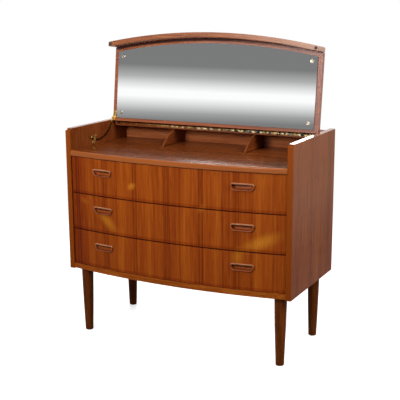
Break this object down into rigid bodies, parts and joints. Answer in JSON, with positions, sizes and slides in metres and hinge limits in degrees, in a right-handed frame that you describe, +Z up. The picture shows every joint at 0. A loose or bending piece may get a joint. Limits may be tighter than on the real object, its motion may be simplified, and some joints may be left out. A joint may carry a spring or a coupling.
{
  "type": "dressing table with mirror",
  "caption": "Teak dressing chest with bowed drawers, a lift-up lid with a mirror inside it over a shallow compartment, a brass lid stay and turned tapered legs.",
  "frame": {"origin": "on the floor, under the middle of the bounding box", "axes": "+X to the right as seen from the front, +Y to the back, +Z up"},
  "size_m": [0.9, 0.4576, 1.1309],
  "materials": {
    "teak_front": "satin oiled teak veneer",
    "teak_side": "satin oiled teak veneer",
    "teak_solid": "satin oiled solid teak",
    "teak_dark": "dark stained turned wood",
    "oak": "plain sanded oak",
    "ply": "plain plywood",
    "brass": "polished, a little tarnished",
    "mirror_glass": "silvered glass",
    "rubber": "matt black"
  },
  "bodies": {
    "cabinet": {"side_left": "teak_side", "side_right": "teak_side", "top_board": "teak_front", "bottom_board": "teak_front", "back_panel": "ply", "rear_shelf": "teak_side", "fin_left": "teak_side", "fin_right": "teak_side", "runner_bottom_left": "oak", "runner_bottom_right": "oak", "runner_middle_left": "oak", "runner_middle_right": "oak", "runner_top_left": "oak", "runner_top_right": "oak", "leg_front_left": "teak_dark", "leg_front_right": "teak_dark", "leg_rear_left": "teak_dark", "leg_rear_right": "teak_dark", "hinge_shelf_leaf": "brass", "hinge_pin": "brass", "stay_guide_base": "brass", "stay_guide_plate": "brass", "stay_guide_screw_lower": "brass", "stay_guide_screw_upper": "brass"},
    "lid": {"lid_panel": "teak_side", "lid_apron": "teak_solid", "mirror": "mirror_glass", "mirror_cap_lower_left": "brass", "mirror_cap_lower_right": "brass", "mirror_cap_upper_left": "brass", "mirror_cap_upper_right": "brass", "lid_buffer_left": "rubber", "lid_buffer_right": "rubber", "hinge_lid_leaf": "brass", "stay_bracket": "brass", "stay_rivet": "brass"},
    "stay_arm": {"stay_arm": "brass", "stay_knob": "brass"},
    "drawer_bottom": {"drawer_bottom_front": "teak_front", "drawer_bottom_pull_left": "teak_solid", "drawer_bottom_pull_right": "teak_solid", "drawer_bottom_side_left": "oak", "drawer_bottom_side_right": "oak", "drawer_bottom_panel": "ply", "drawer_bottom_back": "oak"},
    "drawer_middle": {"drawer_middle_front": "teak_front", "drawer_middle_pull_left": "teak_solid", "drawer_middle_pull_right": "teak_solid", "drawer_middle_side_left": "oak", "drawer_middle_side_right": "oak", "drawer_middle_panel": "ply", "drawer_middle_back": "oak"},
    "drawer_top": {"drawer_top_front": "teak_front", "drawer_top_pull_left": "teak_solid", "drawer_top_pull_right": "teak_solid", "drawer_top_side_left": "oak", "drawer_top_side_right": "oak", "drawer_top_panel": "ply", "drawer_top_back": "oak"}
  },
  "joints": [
    {"name": "lid_hinge", "type": "hinge", "parent": "cabinet", "child": "lid", "pos_m": [0, 0.12075, 0.7771], "axis": [1, 0, 0], "range_deg": [0, 96.87]},
    {"name": "stay_arm_pivot", "type": "hinge", "parent": "lid", "child": "stay_arm", "pos_m": [-0.427, 0.10027, 0.79518], "axis": [1, 0, 0], "range_deg": [-120, 0]},
    {"name": "drawer_top_slide", "type": "slide", "parent": "cabinet", "child": "drawer_top", "axis": [0, -1, 0], "range_m": [0, 0.27]},
    {"name": "drawer_middle_slide", "type": "slide", "parent": "cabinet", "child": "drawer_middle", "axis": [0, -1, 0], "range_m": [0, 0.27]},
    {"name": "drawer_bottom_slide", "type": "slide", "parent": "cabinet", "child": "drawer_bottom", "axis": [0, -1, 0], "range_m": [0, 0.27]}
  ],
  "couplings": [
    {"joint": "stay_arm_pivot", "follows": "lid_hinge", "ratio": -1.2173}
  ]
}
